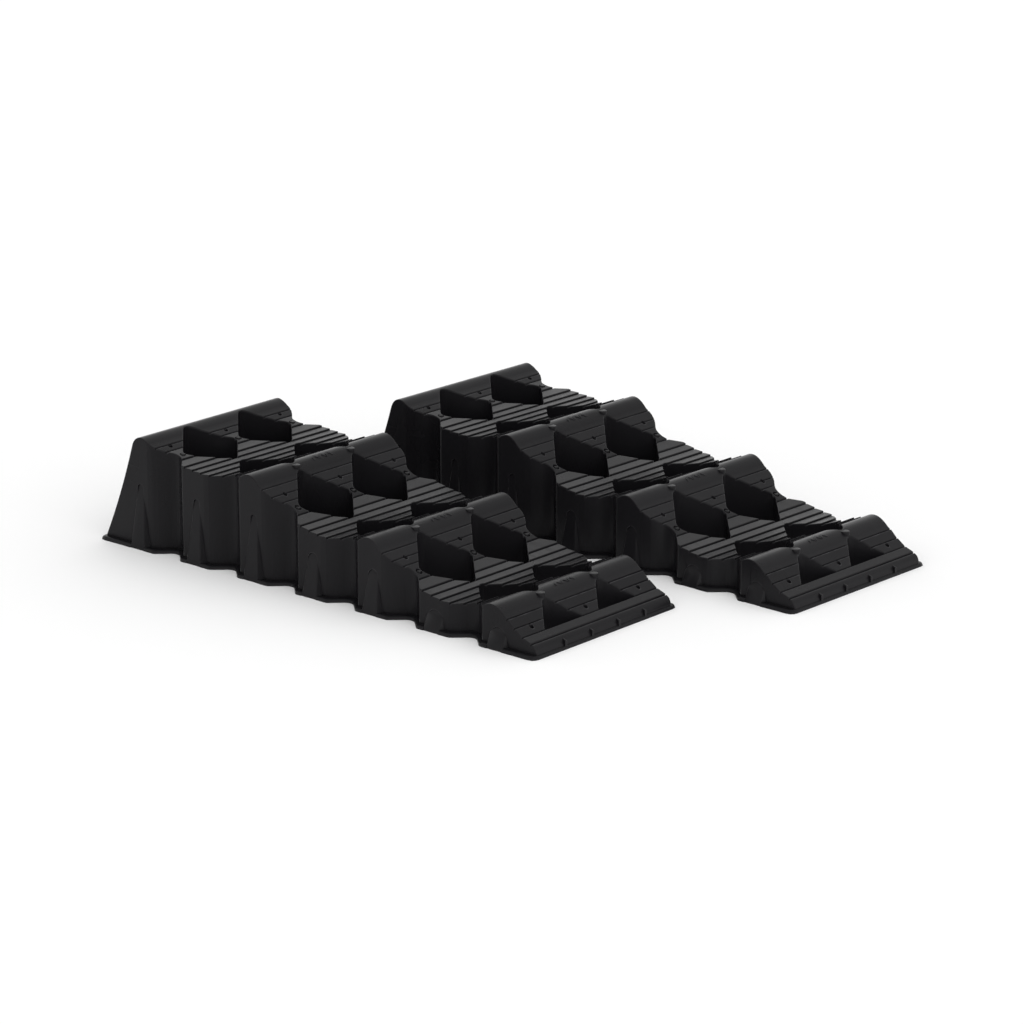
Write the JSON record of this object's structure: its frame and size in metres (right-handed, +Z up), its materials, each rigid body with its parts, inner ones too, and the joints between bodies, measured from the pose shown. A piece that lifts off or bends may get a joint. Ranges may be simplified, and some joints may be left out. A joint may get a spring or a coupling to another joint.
{
  "type": "wheel levelling ramps",
  "caption": "Stepped plastic ramps that raise a parked caravan or motorhome wheel, with ribbed cradles behind rounded crests and open diamond pockets.",
  "frame": {"origin": "on the ground, in the middle of the pair's footprint box", "axes": "+X along the ramps towards their low ends, +Y from the left ramp to the right one, +Z up"},
  "size_m": [0.6632, 0.4752, 0.112],
  "materials": {
    "black_plastic": "satin moulded"
  },
  "bodies": {
    "left": {"left_ramp": "black_plastic"},
    "right": {"right_ramp": "black_plastic"}
  },
  "joints": [
    {"name": "ramp_spacing", "type": "slide", "parent": "left", "child": "right", "axis": [0, 1, 0], "range_m": [-0.04, 1.4]}
  ]
}
